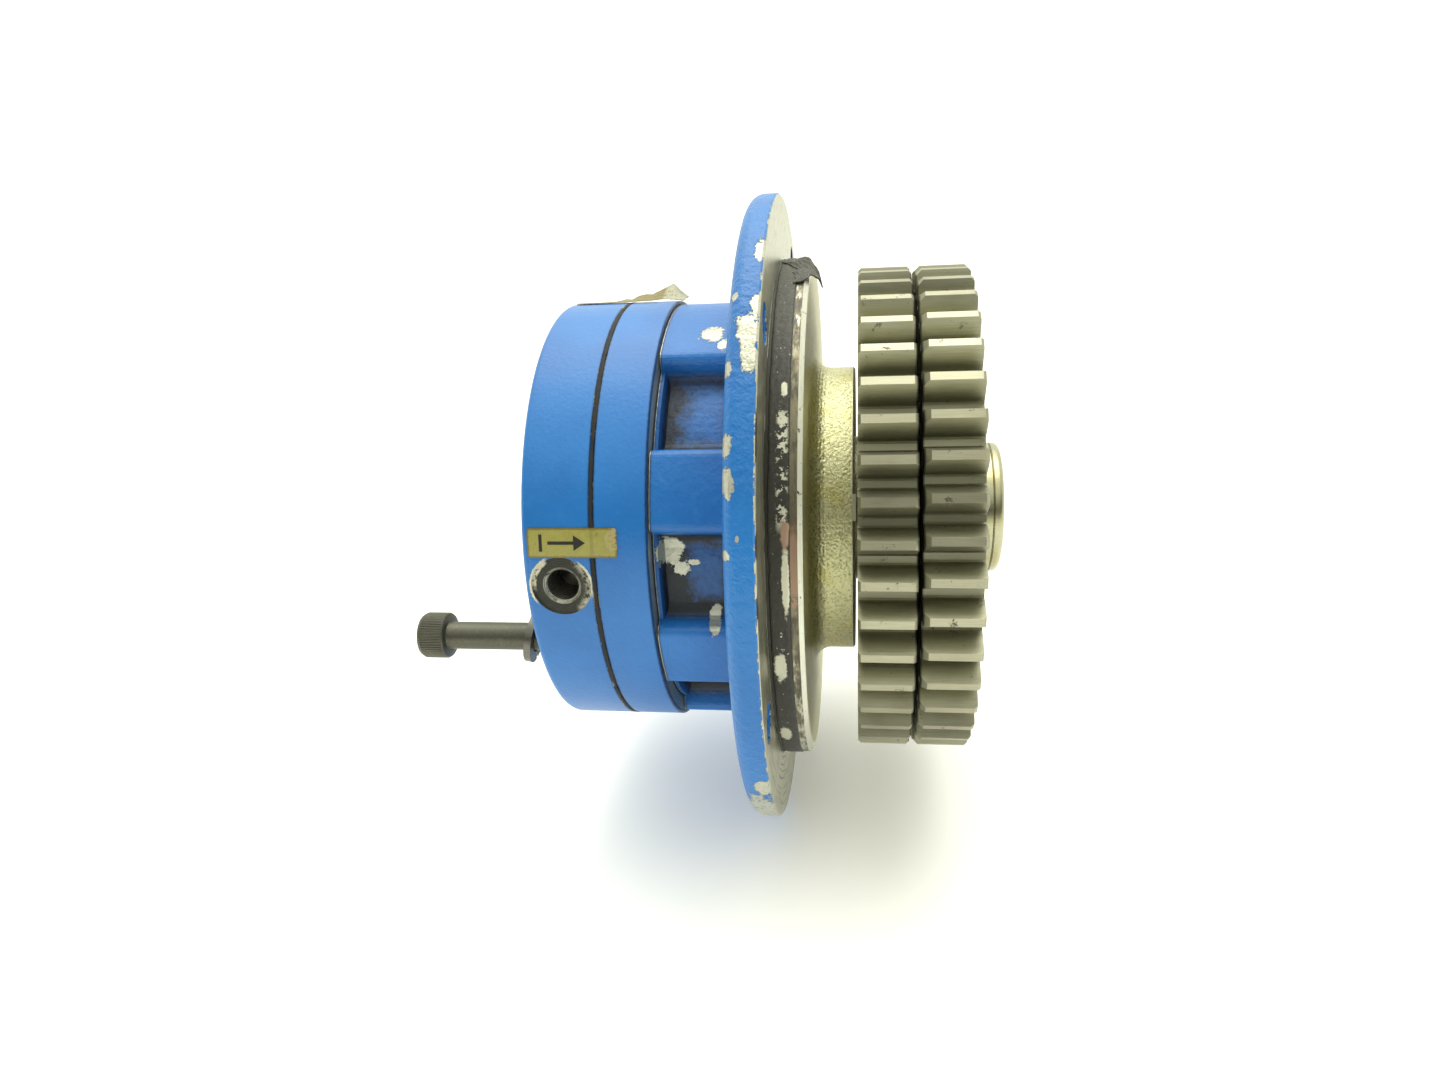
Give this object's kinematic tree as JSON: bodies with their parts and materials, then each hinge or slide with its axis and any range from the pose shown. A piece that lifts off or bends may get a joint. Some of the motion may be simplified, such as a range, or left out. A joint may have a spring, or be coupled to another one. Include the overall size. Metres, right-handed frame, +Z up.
{
  "type": "planetary gearbox",
  "caption": "Short flange-mounted planetary gearbox with a ribbed blue housing, side oil ports and a split spur pinion on its output shaft.",
  "frame": {"origin": "centre of the mounting flange's machined face", "axes": "+X along the output axis towards the output gears, +Z up, outlet port facing -Y"},
  "size_m": [0.168, 0.19, 0.19],
  "materials": {
    "blue_enamel": "semi-gloss blue enamel, light wear",
    "blue_enamel_ring": "semi-gloss blue enamel over the ring gear body",
    "blue_enamel_flange": "blue enamel on the drum and flange, chipped; bare machined aluminium on the flange face, pilot and snout",
    "black_gasket": "compressed black gasket sheet",
    "black_rubber": "greasy black rubber",
    "black_sealant": "torn, dried black sealing film",
    "black_oxide_steel": "black oxide, dry",
    "spring_steel": "dark spring steel",
    "white_plastic": "off-white plastic",
    "yellow_label": "golden yellow film with a black symbol, aged",
    "brown_seal": "brown seal rubber",
    "bearing_steel": "ground bearing steel",
    "bearing_balls": "polished balls",
    "brass_cage": "brass",
    "gear_steel": "ground gear steel with oil film",
    "bronze": "bearing bronze",
    "machined_steel": "machined steel",
    "zinc_steel": "yellowish zinc-plated steel",
    "output_gear_steel": "brownish steel, dark specks and oil"
  },
  "bodies": {
    "housing": {"rear_cover": "blue_enamel", "cover_gasket": "black_gasket", "ring_gear": "blue_enamel_ring", "housing_gasket": "black_gasket", "flange_housing": "blue_enamel_flange", "pilot_o_ring": "black_rubber", "torn_sealant": "black_sealant", "housing_screws": "black_oxide_steel", "housing_lock_washers": "spring_steel", "loose_screw": "black_oxide_steel", "loose_lock_washer": "spring_steel", "inlet_plug": "white_plastic", "outlet_label": "yellow_label", "inlet_label": "yellow_label", "input_seal": "brown_seal", "input_bearing_outer": "bearing_steel", "rear_bearing_outer": "bearing_steel", "front_bearing_outer": "bearing_steel", "output_seal": "brown_seal"},
    "output": {"output_carrier": "zinc_steel", "carrier_plate": "machined_steel", "carrier_screws": "black_oxide_steel", "planet_pins": "bearing_steel", "planet_thrust_washers": "bronze", "rear_bearing_inner": "bearing_steel", "front_bearing_inner": "bearing_steel", "output_gear_inner": "output_gear_steel", "output_gear_outer": "output_gear_steel", "gear_shim": "machined_steel", "gear_key": "machined_steel", "gear_clamp_screws": "black_oxide_steel", "gear_clamp_washers": "spring_steel", "gear_circlip": "spring_steel"},
    "input": {"sun_gear": "gear_steel", "input_bearing_inner": "bearing_steel", "input_circlip": "spring_steel"},
    "planet_1": {"planet_gear_1": "gear_steel", "planet_bush_1": "bronze"},
    "planet_2": {"planet_gear_2": "gear_steel", "planet_bush_2": "bronze"},
    "planet_3": {"planet_gear_3": "gear_steel", "planet_bush_3": "bronze"},
    "input_ball_set": {"input_bearing_balls": "bearing_balls", "input_bearing_cage": "brass_cage"},
    "rear_ball_set": {"rear_bearing_balls": "bearing_balls", "rear_bearing_cage": "brass_cage"},
    "front_ball_set": {"front_bearing_balls": "bearing_balls", "front_bearing_cage": "brass_cage"}
  },
  "joints": [
    {"name": "output_spin", "type": "hinge", "parent": "housing", "child": "output", "pos_m": [0, 0, 0], "axis": [1, 0, 0], "continuous": true},
    {"name": "input_spin", "type": "hinge", "parent": "housing", "child": "input", "pos_m": [-0.05, 0, 0], "axis": [1, 0, 0], "continuous": true},
    {"name": "rear_ball_set_spin", "type": "hinge", "parent": "housing", "child": "rear_ball_set", "pos_m": [-0.0155, 0, 0], "axis": [1, 0, 0], "continuous": true},
    {"name": "front_ball_set_spin", "type": "hinge", "parent": "housing", "child": "front_ball_set", "pos_m": [0.0054, 0, 0], "axis": [1, 0, 0], "continuous": true},
    {"name": "input_ball_set_spin", "type": "hinge", "parent": "housing", "child": "input_ball_set", "pos_m": [-0.0541, 0, 0], "axis": [1, 0, 0], "continuous": true},
    {"name": "planet_1_spin", "type": "hinge", "parent": "output", "child": "planet_1", "pos_m": [-0.0383, 0, 0.0315], "axis": [1, 0, 0], "continuous": true},
    {"name": "planet_2_spin", "type": "hinge", "parent": "output", "child": "planet_2", "pos_m": [-0.0383, 0.02728, -0.01575], "axis": [1, 0, 0], "continuous": true},
    {"name": "planet_3_spin", "type": "hinge", "parent": "output", "child": "planet_3", "pos_m": [-0.0383, -0.02728, -0.01575], "axis": [1, 0, 0], "continuous": true}
  ],
  "couplings": [
    {"joint": "input_spin", "follows": "output_spin", "ratio": 4},
    {"joint": "planet_1_spin", "follows": "output_spin", "ratio": -3},
    {"joint": "planet_2_spin", "follows": "output_spin", "ratio": -3},
    {"joint": "planet_3_spin", "follows": "output_spin", "ratio": -3},
    {"joint": "rear_ball_set_spin", "follows": "output_spin", "ratio": 0.42903},
    {"joint": "front_ball_set_spin", "follows": "output_spin", "ratio": 0.42083},
    {"joint": "input_ball_set_spin", "follows": "output_spin", "ratio": 1.8049}
  ]
}
